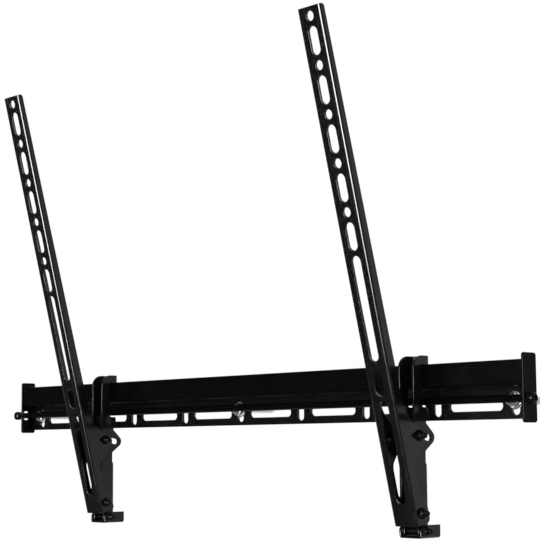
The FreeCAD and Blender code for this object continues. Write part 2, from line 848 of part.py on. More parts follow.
for item in doc.Objects:
    if "Invalid" in item.State or "Error" in item.State:
        raise RuntimeError("did not recompute: " + item.Name)
os.makedirs("parts", exist_ok=True)
for body in PARTS:
    if body.Shape.isNull() or not body.Shape.isValid():
        raise RuntimeError("bad shape: " + body.Label)
    body.Shape.exportStep(os.path.join("parts", body.Label + ".step"))
    box = body.Shape.BoundBox
    print("%-26s solids %d volume %10.1f  x %8.2f %8.2f  y %8.2f %8.2f  z %8.2f %8.2f" % (
        body.Label, len(body.Shape.Solids), body.Shape.Volume, box.XMin, box.XMax, box.YMin, box.YMax,
        box.ZMin, box.ZMax))
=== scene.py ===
"""Looks of a tilting wall mount for a flat screen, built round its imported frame.

The sheet-metal pieces are the frame's solids with every cut edge eased and coated. The screws, lag
bolts, washers, nuts and spacers are worked out here as turned and threaded surfaces.
Metres, +X along the rail, +Y into the wall, +Z up, wall plane y = 0.
"""
from __future__ import annotations

import logging
import math
from dataclasses import dataclass
from enum import Enum

import bmesh
import bpy
import numpy as np
from mathutils import Matrix, Vector

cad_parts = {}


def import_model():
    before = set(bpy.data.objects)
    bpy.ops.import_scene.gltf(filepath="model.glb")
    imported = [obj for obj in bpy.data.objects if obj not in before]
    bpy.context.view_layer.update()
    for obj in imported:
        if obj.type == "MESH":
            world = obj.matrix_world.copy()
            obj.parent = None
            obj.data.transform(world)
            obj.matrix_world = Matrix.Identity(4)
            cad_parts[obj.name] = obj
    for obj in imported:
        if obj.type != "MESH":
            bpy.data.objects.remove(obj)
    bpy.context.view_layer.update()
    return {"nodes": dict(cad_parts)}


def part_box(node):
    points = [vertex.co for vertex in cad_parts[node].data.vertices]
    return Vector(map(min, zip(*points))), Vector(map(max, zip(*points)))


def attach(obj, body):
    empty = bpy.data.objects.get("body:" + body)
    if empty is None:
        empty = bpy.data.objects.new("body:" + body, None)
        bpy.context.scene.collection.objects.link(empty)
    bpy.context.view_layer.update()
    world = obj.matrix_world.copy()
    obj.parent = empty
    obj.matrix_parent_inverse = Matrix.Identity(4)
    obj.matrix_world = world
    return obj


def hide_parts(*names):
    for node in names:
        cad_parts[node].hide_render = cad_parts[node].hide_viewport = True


LOG = logging.getLogger("tilt_mount")
MM = 0.001
SIDES = ("left", "right")
# Past this angle an edge of a turned piece stays crisp
CRISP_EDGE = math.radians(24.0)
# Drop of the cone that cuts a hexagon's corners, for each unit outwards
CONE_SLOPE = 0.55
# Rings of points in one turn of a thread
RINGS_PER_TURN = 10


class Axis(Enum):
    """Which way a turned piece points: its own length axis in the frame."""

    RIGHT = (1, 0, 0)
    LEFT = (-1, 0, 0)
    ROOM = (0, -1, 0)

    def basis(self) -> np.ndarray:
        """Works out the piece's own axes: along, the frame's up, and across, square to both.

        Returns:
            Array (3, 3) with the rows across, up and along.
        """
        along = np.array(self.value, dtype=float)
        up = np.array([0.0, 0.0, 1.0])
        return np.stack([np.cross(up, along), up, along])


@dataclass(frozen=True)
class Finish:
    """One surface finish as a procedural material.

    Attributes:
        name: Last part of the material's name.
        light: Colour where the finish is palest.
        dark: Colour where it is deepest.
        rough_low: Least roughness.
        rough_high: Most roughness.
        metallic: Share of bare metal.
        specular: Strength of the surface reflection.
        grain: Size of the bump's cells in metres.
        relief: Height of the bump in metres.
        cloud: Size of the colour patches in metres.
        blend: Noise levels between which the colour runs from dark to light.
        sheen: Noise levels between which the roughness runs from least to most.
        sheen_share: Size of the roughness patches as a share of the colour patches.
        details: Detail of the noise for colour, roughness and bump.
    """

    name: str
    light: tuple[float, float, float]
    dark: tuple[float, float, float]
    rough_low: float
    rough_high: float
    metallic: float = 0.0
    specular: float = 0.5
    grain: float = 0.9 * MM
    relief: float = 0.012 * MM
    cloud: float = 18.0 * MM
    blend: tuple[float, float] = (0.35, 0.65)
    sheen: tuple[float, float] = (0.3, 0.7)
    sheen_share: float = 0.4
    details: tuple[float, float, float] = (4.0, 3.0, 2.0)

    def material(self) -> bpy.types.Material:
        """Builds the node material.

        Returns:
            The material, with colour, roughness and bump from noise on Object coordinates.
        """
        found = bpy.data.materials.get("finish_" + self.name)
        if found:
            return found
        made = bpy.data.materials.new("finish_" + self.name)
        made.use_nodes = True
        tree = made.node_tree
        shader = tree.nodes["Principled BSDF"]
        shader.inputs["Metallic"].default_value = self.metallic
        shader.inputs["Specular IOR Level"].default_value = self.specular
        where = tree.nodes.new("ShaderNodeTexCoord")

        def noise(size: float, detail: float) -> bpy.types.NodeSocket:
            """Adds a noise texture on Object coordinates.

            Args:
                size: Size of its cells.
                detail: Its detail.

            Returns:
                The socket with its level.
            """
            node = tree.nodes.new("ShaderNodeTexNoise")
            node.inputs["Scale"].default_value = 1.0 / size
            node.inputs["Detail"].default_value = detail
            tree.links.new(where.outputs["Object"], node.inputs["Vector"])
            return node.outputs["Fac"]

        of_colour, of_gloss, of_bump = self.details
        ramp = tree.nodes.new("ShaderNodeValToRGB")
        for stop, level, colour in zip(ramp.color_ramp.elements, self.blend, (self.dark, self.light)):
            stop.position = level
            stop.color = (*colour, 1.0)
        tree.links.new(noise(self.cloud, of_colour), ramp.inputs["Fac"])
        tree.links.new(ramp.outputs["Color"], shader.inputs["Base Color"])
        gloss = tree.nodes.new("ShaderNodeMapRange")
        gloss.inputs["From Min"].default_value = self.sheen[0]
        gloss.inputs["From Max"].default_value = self.sheen[1]
        gloss.inputs["To Min"].default_value = self.rough_low
        gloss.inputs["To Max"].default_value = self.rough_high
        tree.links.new(noise(self.cloud * self.sheen_share, of_gloss), gloss.inputs["Value"])
        tree.links.new(gloss.outputs["Result"], shader.inputs["Roughness"])
        peel = tree.nodes.new("ShaderNodeBump")
        peel.inputs["Strength"].default_value = 1.0
        peel.inputs["Distance"].default_value = self.relief
        tree.links.new(noise(self.grain, of_bump), peel.inputs["Height"])
        tree.links.new(peel.outputs["Normal"], shader.inputs["Normal"])
        return made


ARM_COAT = Finish("arm_coat", (0.0056, 0.0056, 0.0057), (0.0042, 0.0042, 0.0043), 0.12, 0.17,
                  specular=0.26)
RAIL_COAT = Finish("rail_coat", (0.0042, 0.0042, 0.0034), (0.0031, 0.0031, 0.0025), 0.14, 0.19,
                   specular=0.03)
# Painted light: a paler copy of the black coat for the hooks and feet, whose paler tone lifts the shade
# between their plates
HOOK_PAINTED_LIFT_COAT = Finish("hook_painted_lift_coat", (0.0105, 0.0105, 0.0098), (0.0080, 0.0080, 0.0075), 0.12, 0.17,
                   specular=0.19)
# Painted light: a paler copy of the rail's coat for the rail's back leaf, drawn lighter as if more light
# fell on it
LEAF_PAINTED_LIGHT = Finish("leaf_painted_light", (0.0110, 0.0110, 0.0105), (0.0085, 0.0085, 0.0081), 0.14, 0.19,
                   specular=0.05)
SCREW_BLACK = Finish("black_screw", (0.008, 0.008, 0.008), (0.005, 0.005, 0.005), 0.20, 0.30, specular=0.06,
                     grain=0.5 * MM, relief=0.008 * MM, cloud=4.0 * MM)
ZINC = Finish("zinc", (0.94, 0.94, 0.95), (0.84, 0.84, 0.88), 0.05, 0.07, metallic=1.0, grain=0.6 * MM,
              relief=0.0005 * MM, cloud=3.0 * MM)
NYLON = Finish("spacer", (0.012, 0.012, 0.012), (0.008, 0.008, 0.008), 0.45, 0.55, specular=0.3,
               grain=0.4 * MM, relief=0.006 * MM, cloud=5.0 * MM)


def ring_piece(name: str, rings: np.ndarray, axis: Axis, seat: Vector, closed: bool) -> bpy.types.Object:
    """Makes a mesh piece from rings of points.

    Neighbouring rings are joined by four-sided faces. An open stack gets a point at the middle of
    its first and last ring, joined to the ring by triangles; a closed one joins its last ring to its first.

    Args:
        name: Name of the piece.
        rings: Array (ring, step, 3) of points on the piece's own axes: across, up and along.
        axis: Which way the piece points.
        seat: Where the piece's own origin sits in the frame.
        closed: True for a stack that returns to its first ring.

    Returns:
        The new object at the frame's origin.
    """
    count, steps, _ = rings.shape
    points = rings.reshape(-1, 3)
    ring = np.arange(count if closed else count - 1)[:, None]
    step = np.arange(steps)[None, :]
    after = (step + 1) % steps
    over = (ring + 1) % count
    here, there = ring * steps, over * steps
    sides = np.stack([here + step, here + after, there + after, there + step], axis=-1)
    faces = sides.reshape(-1, 4).tolist()
    if not closed:
        low, high = len(points), len(points) + 1
        points = np.vstack([points, rings[0].mean(axis=0), rings[-1].mean(axis=0)])
        one, two = step[0], after[0]
        last = (count - 1) * steps
        faces += np.stack([np.full(steps, low), two, one], axis=-1).tolist()
        faces += np.stack([np.full(steps, high), last + one, last + two], axis=-1).tolist()
    placed = points @ axis.basis() + np.array(seat)
    mesh = bpy.data.meshes.new(name)
    mesh.from_pydata(placed.tolist(), [], faces)
    mesh.validate()
    shape = bmesh.new()
    shape.from_mesh(mesh)
    bmesh.ops.recalc_face_normals(shape, faces=shape.faces)
    shape.to_mesh(mesh)
    shape.free()
    mesh.shade_smooth()
    mesh.set_sharp_from_angle(angle=CRISP_EDGE)
    piece = bpy.data.objects.new(name, mesh)
    bpy.context.scene.collection.objects.link(piece)
    return piece


def angles(steps: int) -> np.ndarray:
    """Returns evenly spaced angles round a circle, without the last."""
    return np.linspace(0.0, 2.0 * math.pi, steps, endpoint=False)


def hex_radius(theta: np.ndarray, flats: float) -> np.ndarray:
    """Gives the radius of a hexagon at each angle: half the flats over the cosine of the angle to a flat.

    Args:
        theta: Angles.
        flats: Distance across the flats.

    Returns:
        Radii of the same shape.
    """
    sector = math.pi / 3.0
    return flats / 2.0 / np.cos((theta + sector / 2.0) % sector - sector / 2.0)


def stack(theta: np.ndarray, radii: list[np.ndarray | float],
          heights: list[np.ndarray | float]) -> np.ndarray:
    """Builds rings from a radius and a height for each ring.

    Args:
        theta: Angles of the steps.
        radii: One radius, or one radius a step, for each ring.
        heights: One height, or one height a step, for each ring.

    Returns:
        Array (ring, step, 3).
    """
    r = np.array([np.broadcast_to(radius, theta.shape) for radius in radii])
    z = np.array([np.broadcast_to(height, theta.shape) for height in heights])
    return np.stack([r * np.cos(theta), r * np.sin(theta), z], axis=-1)


def thread(theta: np.ndarray, start: float, end: float, pitch: float, core: float, crest: float,
           tip: float, sharp: float, least: float) -> np.ndarray:
    """Builds a threaded shank: the radius is the core plus a ridge that climbs one pitch a turn.

    The ridge is a triangle wave raised to a power. It fades in over the first turn, and the last
    stretch tapers.

    Args:
        theta: Angles of the steps.
        start: Height at which the thread starts.
        end: Height of the tip, below the start.
        pitch: Climb of one turn.
        core: Radius between the ridges.
        crest: Radius on the ridges.
        tip: Length of the taper at the end.
        sharp: Power of the ridge; higher leaves wider valleys.
        least: Share of the radius left at the very end.

    Returns:
        Array (ring, step, 3).
    """
    rows = int(abs(end - start) / pitch * RINGS_PER_TURN)
    z = np.linspace(start, end, rows)[:, None]
    phase = (z / pitch + theta[None, :] / (2.0 * math.pi)) % 1.0
    ridge = (1.0 - np.abs(2.0 * phase - 1.0)) ** sharp
    fade = np.clip((start - z) / pitch, 0.0, 1.0)
    taper = least + (1.0 - least) * np.clip((z - end) / tip, 0.0, 1.0)
    r = (core + (crest - core) * ridge * fade) * taper
    return np.stack([r * np.cos(theta), r * np.sin(theta), np.broadcast_to(z, r.shape)], axis=-1)


def finish_piece(piece: bpy.types.Object, finish: Finish, body: str, nodes: list[str]) -> None:
    """Coats a piece, lets it ride on its body and lets it stand for its nodes.

    Args:
        piece: The piece.
        finish: Its finish.
        body: The body that carries it.
        nodes: The frame nodes that it stands for.
    """
    piece.data.materials.clear()
    piece.data.materials.append(finish.material())
    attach(piece, body)
    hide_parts(*nodes)
    LOG.info("%s on %s: %d faces", piece.name, body, len(piece.data.polygons))


@dataclass
class LagScrew:
    """One zinc hex lag bolt and its washer, through the rail into the wall.

    Attributes:
        where: Which of the three bolts it is.
        steps: Steps round the bolt.
        pitch: Climb of the wood thread in one turn.
        shank: Radius of the plain shank and of the thread's ridges.
        core: Radius between the ridges.
        plain: Length of the plain shank.
        tip: Length of the tapered tip.
        tip_share: Share of the radius left at the very end.
        sharp: Power of the ridge.
        under: Height of the eased edge under the head.
        under_share: Share of the hexagon left below that edge.
        face_share: Share of the flats that the round face spans.
        middle_share: Share of the face inside its first ring.
        bore: Radius of the washer's hole.
        rolled: Share of the washer's thickness taken by a rolled edge.
    """

    where: str
    steps: int = 48
    pitch: float = 3.2 * MM
    shank: float = 4.0 * MM
    core: float = 2.9 * MM
    plain: float = 14.0 * MM
    tip: float = 9.0 * MM
    tip_share: float = 0.12
    sharp: float = 2.2
    under: float = 0.4 * MM
    under_share: float = 0.985
    face_share: float = 0.93
    middle_share: float = 0.55
    bore: float = 4.3 * MM
    rolled: float = 0.25

    def build(self) -> None:
        """Builds the bolt and its washer and dresses both."""
        node = "lag_bolt_" + self.where
        low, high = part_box(node)
        ring_low, ring_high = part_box("lag_washer_" + self.where)
        seat = Vector(((low.x + high.x) / 2, ring_low.y, (low.z + high.z) / 2))
        flats = min(high.x - low.x, high.z - low.z)
        tall = ring_low.y - low.y
        length = high.y - ring_low.y
        theta = angles(self.steps)
        rings = self.rings(theta, flats, tall, length)
        bolt = ring_piece("lag_screw_" + self.where, rings, Axis.ROOM, seat, False)
        finish_piece(bolt, ZINC, "rail", [node])
        ring = self.washer(theta, (ring_high.x - ring_low.x) / 2, ring_high.y - ring_low.y)
        flat = ring_piece("lag_ring_" + self.where, ring, Axis.ROOM, seat, True)
        finish_piece(flat, ZINC, "rail", ["lag_washer_" + self.where])

    def rings(self, theta: np.ndarray, flats: float, tall: float, length: float) -> np.ndarray:
        """Rings of the bolt: chamfered hex head, plain shank, then a wood thread with a tapered tip.

        The head's rim is the hexagon cut by a cone, so its corners drop lower than its flats.

        Args:
            theta: Angles of the steps.
            flats: Distance across the head's flats.
            tall: Height of the head.
            length: Length below the head.

        Returns:
            Array (ring, step, 3).
        """
        outline = hex_radius(theta, flats)
        face = flats / 2.0 * self.face_share
        rim = tall - (outline - face) * CONE_SLOPE
        foot = outline * self.under_share
        radii = [face * self.middle_share, face, outline, outline, foot, self.shank, self.shank]
        heights = [tall, tall, rim, self.under, 0.0, 0.0, -self.plain]
        screw = thread(theta, -self.plain, -length, self.pitch, self.core, self.shank, self.tip,
                       self.sharp, self.tip_share)
        return np.concatenate([stack(theta, radii, heights), screw])

    def washer(self, theta: np.ndarray, outer: float, thick: float) -> np.ndarray:
        """Rings of the washer: a flat ring with rolled edges, closed on itself.

        Args:
            theta: Angles of the steps.
            outer: Outer radius.
            thick: Thickness.

        Returns:
            Array (ring, step, 3).
        """
        ease = thick * self.rolled
        across = [self.bore, self.bore + ease, outer - ease, outer]
        return stack(theta, across + across[::-1],
                     [-ease, 0.0, 0.0, -ease, ease - thick, -thick, -thick, ease - thick])


@dataclass
class ButtonScrew:
    """One black button-head screw along X, with a hex socket and a threaded end.

    Attributes:
        node: The frame node that it stands for.
        body: The body that carries it.
        name: Name of the piece.
        points_to: Which way its head points.
        steps: Steps round the screw.
        pitch: Climb of the thread in one turn.
        core_share: Radius between the ridges as a share of the shank's.
        sharp: Power of the ridge.
        socket: Distance across the socket's flats.
        socket_floor: Share of the socket's outline left at the middle of its floor.
        deep: Depth of the socket's wall.
        cone: Further depth at the middle of its floor.
        lip: Depth of the cone at its mouth.
        mouth_share: Radius of that mouth as a share of half the socket.
        rim_share: Share of the head's height below the dome.
        under: Height of the eased edge under the head.
        under_share: Share of the head's radius left below that edge.
        threaded: Length of the threaded end.
        least_plain: Least length of plain shank under the head.
        chamfer: Length of the tip's taper.
        tip_share: Share of the radius left at the tip.
        bow: Points on the dome's curve.
        near: Length at the tip over which the shank's radius is read.
        rim_near: Share of the head's radius past which a point is on its rim.
    """

    node: str
    body: str
    name: str
    points_to: Axis = Axis.LEFT
    steps: int = 48
    pitch: float = 1.0 * MM
    core_share: float = 0.86
    sharp: float = 1.0
    socket: float = 4.0 * MM
    socket_floor: float = 0.3
    deep: float = 1.8 * MM
    cone: float = 0.4 * MM
    lip: float = 0.35 * MM
    mouth_share: float = 1.28
    rim_share: float = 0.22
    under: float = 0.15 * MM
    under_share: float = 0.97
    threaded: float = 13.0 * MM
    least_plain: float = 0.5 * MM
    chamfer: float = 0.7 * MM
    tip_share: float = 0.72
    bow: int = 7
    near: float = 0.1 * MM
    rim_near: float = 0.97

    def build(self) -> None:
        """Builds the screw in its node's place and dresses it."""
        mesh = bpy.data.objects[self.node].data
        points = np.empty(len(mesh.vertices) * 3)
        mesh.vertices.foreach_get("co", points)
        points = points.reshape(-1, 3)
        low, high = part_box(self.node)
        centre = (low + high) / 2
        head = (high.y - low.y) / 2
        sign = self.points_to.value[0]
        along = points[:, 0] * sign
        radius = np.hypot(points[:, 1] - centre.y, points[:, 2] - centre.z)
        shank = radius[along < along.min() + self.near].max()
        under = along[radius > self.rim_near * head].min()
        rings = self.rings(angles(self.steps), head, along.max() - under, shank, under - along.min())
        seat = Vector((under * sign, centre.y, centre.z))
        self.dress(ring_piece(self.name, rings, self.points_to, seat, False))

    def dress(self, piece: bpy.types.Object) -> None:
        """Coats the screw and lets it stand for its node."""
        finish_piece(piece, SCREW_BLACK, self.body, [self.node])

    def rings(self, theta: np.ndarray, head: float, tall: float, shank: float, length: float) -> np.ndarray:
        """Rings from the socket's floor over the domed head to the threaded, chamfered tip.

        The dome is a quarter of an ellipse from the socket's lip to a short upright rim.

        Args:
            theta: Angles of the steps.
            head: Radius of the head.
            tall: Height of the head.
            shank: Radius of the shank.
            length: Length below the head.

        Returns:
            Array (ring, step, 3).
        """
        key = hex_radius(theta, self.socket)
        mouth = self.socket / 2.0 * self.mouth_share
        floor = tall - self.deep
        rim = tall * self.rim_share
        bow = np.linspace(0.0, math.pi / 2.0, self.bow)
        dome_r = mouth + (head - mouth) * np.sin(bow)
        dome_z = rim + (tall - rim) * np.cos(bow)
        plain = max(length - self.threaded, self.least_plain)
        radii = [key * self.socket_floor, key, key, *dome_r, head, head * self.under_share, shank, shank]
        heights = [floor - self.cone, floor, tall - self.lip, *dome_z, self.under, 0.0, 0.0, -plain]
        end = thread(theta, -plain, -length, self.pitch, shank * self.core_share, shank, self.chamfer,
                     self.sharp, self.tip_share)
        return np.concatenate([stack(theta, radii, heights), end])


@dataclass
class LockNut:
    """One black lock nut along X: a chamfered hexagon under a round, domed collar.

    Attributes:
        node: The frame node that it stands for.
        body: The body that carries it.
        name: Name of the piece.
        steps: Steps round the nut.
        bore: Radius of the bore.
        mouth_share: Radius of the bore's mouth as a share of the bore's.
        face_share: Share of the flats that a round face spans.
        collar: Height of the collar.
        collar_out: Outer radius of the collar.
        round_share: Share of the collar's height that is rounded.
        bow: Points on the collar's round.
    """

    node: str
    body: str
    name: str
    steps: int = 48
    bore: float = 2.98 * MM
    mouth_share: float = 1.10
    face_share: float = 0.95
    collar: float = 1.4 * MM
    collar_out: float = 4.4 * MM
    round_share: float = 0.75
    bow: int = 6

    def build(self) -> None:
        """Builds the nut in its node's place and dresses it."""
        low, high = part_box(self.node)
        seat = Vector((low.x, (low.y + high.y) / 2, (low.z + high.z) / 2))
        flats = min(high.y - low.y, high.z - low.z)
        rings = self.rings(angles(self.steps), flats, high.x - low.x)
        self.dress(ring_piece(self.name, rings, Axis.RIGHT, seat, True))

    def dress(self, piece: bpy.types.Object) -> None:
        """Coats the nut and lets it stand for its node."""
        finish_piece(piece, SCREW_BLACK, self.body, [self.node])

    def rings(self, theta: np.ndarray, flats: float, tall: float) -> np.ndarray:
        """Rings of the nut: the hexagon cut by a cone at both ends, then the collar's quarter round.

        Args:
            theta: Angles of the steps.
            flats: Distance across the flats.
            tall: Height.

        Returns:
            Array (ring, step, 3), closed through the bore.
        """
        outline = hex_radius(theta, flats)
        face = flats / 2.0 * self.face_share
        drop = (outline - face) * CONE_SLOPE
        shoulder = tall - self.collar
        bow = np.linspace(0.0, math.pi / 2.0, self.bow)
        curve = self.collar * self.round_share
        dome_r = self.collar_out - curve * (1.0 - np.cos(bow))
        dome_z = tall - curve * (1.0 - np.sin(bow))
        mouth = self.bore * self.mouth_share
        cone = mouth - self.bore
        radii = [self.bore, mouth, face, outline, outline, face, self.collar_out, *dome_r, self.bore]
        heights = [cone, 0.0, 0.0, drop, shoulder - drop, shoulder, shoulder, *dome_z, tall]
        return stack(theta, radii, heights)


@dataclass
class Spacer:
    """One moulded spacer ring between two sheets, on a bolt along X.

    Attributes:
        node: The frame node that it stands for.
        body: The body that carries it.
        name: Name of the piece.
        steps: Steps round the ring.
        bore: Radius of its hole.
        rolled: Share of its thickness taken by a rolled edge.
    """

    node: str
    body: str
    name: str
    steps: int = 48
    bore: float = 3.2 * MM
    rolled: float = 0.3

    def build(self) -> None:
        """Builds the ring with rolled edges in its node's place and dresses it."""
        low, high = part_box(self.node)
        thick = high.x - low.x
        outer = (high.y - low.y) / 2
        ease = thick * self.rolled
        seat = Vector((low.x, (low.y + high.y) / 2, (low.z + high.z) / 2))
        across = [self.bore, outer - ease, outer]
        heights = [0.0, 0.0, ease, thick - ease, thick, thick]
        rings = stack(angles(self.steps), across + across[::-1], heights)
        self.dress(ring_piece(self.name, rings, Axis.RIGHT, seat, True))

    def dress(self, piece: bpy.types.Object) -> None:
        """Coats the ring and lets it stand for its node."""
        finish_piece(piece, NYLON, self.body, [self.node])


@dataclass
class SheetPiece:
    """One sheet-metal piece: its node's own solid with every cut edge eased by a small round.

    Attributes:
        node: The frame node that it stands for.
        body: The body that carries it.
        name: Name of the piece.
        finish: Its coat.
        ease: Width of the eased edges.
        behind: Place in y behind which faces get a paler coat, painted light that stands for more light on
            the leaf; None for one coat all over.
        merge: Distance within which the solid's corners are one.
        flat: Angle under which neighbouring faces are one.
        crisp: Angle past which an edge shades as a break.
        eased_from: Angle past which an edge is eased.
        rounds: Faces across an eased edge.
        corner: Radius of the outline's square corners; 0 leaves them square.
        corner_steps: Faces round such a corner.
        corner_room: Least length beside a corner, in radii.
        square: How far from a right angle such a corner may be.
        sheet: Length under which an edge runs through the sheet and not along it.
    """

    node: str
    body: str
    name: str
    finish: Finish
    ease: float = 0.8 * MM
    behind: float | None = None
    merge: float = 0.004 * MM
    flat: float = math.radians(0.4)
    crisp: float = math.radians(35.0)
    eased_from: float = math.radians(40.0)
    rounds: int = 3
    corner: float = 0.0
    corner_steps: int = 5
    corner_room: float = 1.2
    square: float = math.radians(25.0)
    sheet: float = 4.5 * MM

    def build(self) -> None:
        """Builds the eased copy of the node and dresses it."""
        mesh = bpy.data.objects[self.node].data.copy()
        mesh.name = self.name
        shape = bmesh.new()
        shape.from_mesh(mesh)
        bmesh.ops.remove_doubles(shape, verts=shape.verts, dist=self.merge)
        bmesh.ops.dissolve_limit(shape, angle_limit=self.flat, verts=shape.verts, edges=shape.edges,
                                 delimit=set())
        if self.corner:
            corners = [edge for edge in shape.edges if self.is_corner(edge)]
            LOG.info("%s: %d corners rounded", self.name, len(corners))
            bmesh.ops.bevel(shape, geom=corners, offset=self.corner, offset_type="OFFSET",
                            segments=self.corner_steps, profile=0.5, affect="EDGES", loop_slide=False)
        shape.to_mesh(mesh)
        shape.free()
        mesh.shade_smooth()
        mesh.set_sharp_from_angle(angle=self.crisp)
        piece = bpy.data.objects.new(self.name, mesh)
        bpy.context.scene.collection.objects.link(piece)
        ease = piece.modifiers.new("eased_edges", "BEVEL")
        ease.width = self.ease
        ease.segments = self.rounds
        ease.limit_method = "ANGLE"
        ease.angle_limit = self.eased_from
        ease.use_clamp_overlap = False
        ease.loop_slide = False
        ease.harden_normals = True
        self.dress(piece)

    def is_corner(self, edge: bmesh.types.BMEdge) -> bool:
        """Tells whether an edge is a square corner of the outline, with room for its round.

        Args:
            edge: An edge of the solid.

        Returns:
            True for such a corner.
        """
        if not edge.is_manifold or not edge.is_convex or edge.calc_length() > self.sheet:
            return False
        beside = [other.calc_length() for end in edge.verts for other in end.link_edges
                  if other is not edge]
        roomy = min(beside) > self.corner_room * self.corner
        return roomy and abs(edge.calc_face_angle() - math.pi / 2.0) < self.square

    def dress(self, piece: bpy.types.Object) -> None:
        """Coats the sheet, painting the faces behind the given place paler as light on the leaf, and lets
        it stand for its node.

        Args:
            piece: The piece.
        """
        finish_piece(piece, self.finish, self.body, [self.node])
        if self.behind is not None:
            # Painted light: faces behind the place take the paler leaf coat
            piece.data.materials.append(LEAF_PAINTED_LIGHT.material())
            faces = piece.data.polygons
            centres = np.empty(3 * len(faces))
            faces.foreach_get("center", centres)
            painted_light_faces = (centres[1::3] > self.behind).astype(np.int32)
            faces.foreach_set("material_index", painted_light_faces)


@dataclass
class WallRail:
    """The rail with its end plates, lock rod and lag bolts.

    Attributes:
        lags: The three lag bolts.
        leaf_y: Place in y behind which the folded sheet is its leaf.
        corner: Radius of the end plates' square corners.
    """

    lags: tuple[str, ...] = ("left", "centre", "right")
    leaf_y: float = -4.0 * MM
    corner: float = 3.0 * MM

    def build(self) -> None:
        """Builds and dresses the rail's pieces."""
        SheetPiece("wall_rail", "rail", "rail_sheet", RAIL_COAT, behind=self.leaf_y).build()
        for side in SIDES:
            SheetPiece("end_plate_" + side, "rail", "rail_end_" + side, RAIL_COAT,
                       corner=self.corner).build()
        SheetPiece("lock_rod", "rod", "lock_bar", RAIL_COAT).build()
        ButtonScrew("rod_head_screw", "rod", "lock_bar_screw", Axis.RIGHT).build()
        for where in self.lags:
            LagScrew(where).build()


@dataclass
class TiltArm:
    """One arm with its hook, foot and fasteners.

    Attributes:
        side: Which of the two arms it is.
        ease: Width of the eased edges of the arm's channel.
        corner: Radius of the square corners of the channel and the hook.
    """

    side: str
    ease: float = 0.35 * MM
    corner: float = 3.0 * MM

    def build(self) -> None:
        """Builds and dresses the arm's pieces."""
        side = self.side
        arm, hook = "arm_" + side, "hook_" + side
        SheetPiece("arm_channel_" + side, arm, "screen_arm_" + side, ARM_COAT, self.ease,
                   corner=self.corner).build()
        SheetPiece("hook_bracket_" + side, hook, "rail_hook_" + side, HOOK_PAINTED_LIFT_COAT,
                   corner=self.corner).build()
        SheetPiece("foot_bracket_" + side, hook, "wall_foot_" + side, HOOK_PAINTED_LIFT_COAT).build()
        for kind, body in (("pivot", arm), ("tilt", arm), ("foot", hook)):
            ButtonScrew(f"{kind}_bolt_{side}", body, f"{kind}_screw_{side}").build()
            LockNut(f"{kind}_nut_{side}", body, f"{kind}_hex_{side}").build()
            for end in ("head", "nut"):
                Spacer(f"{kind}_spacer_{end}_{side}", body, f"{kind}_ring_{end}_{side}").build()


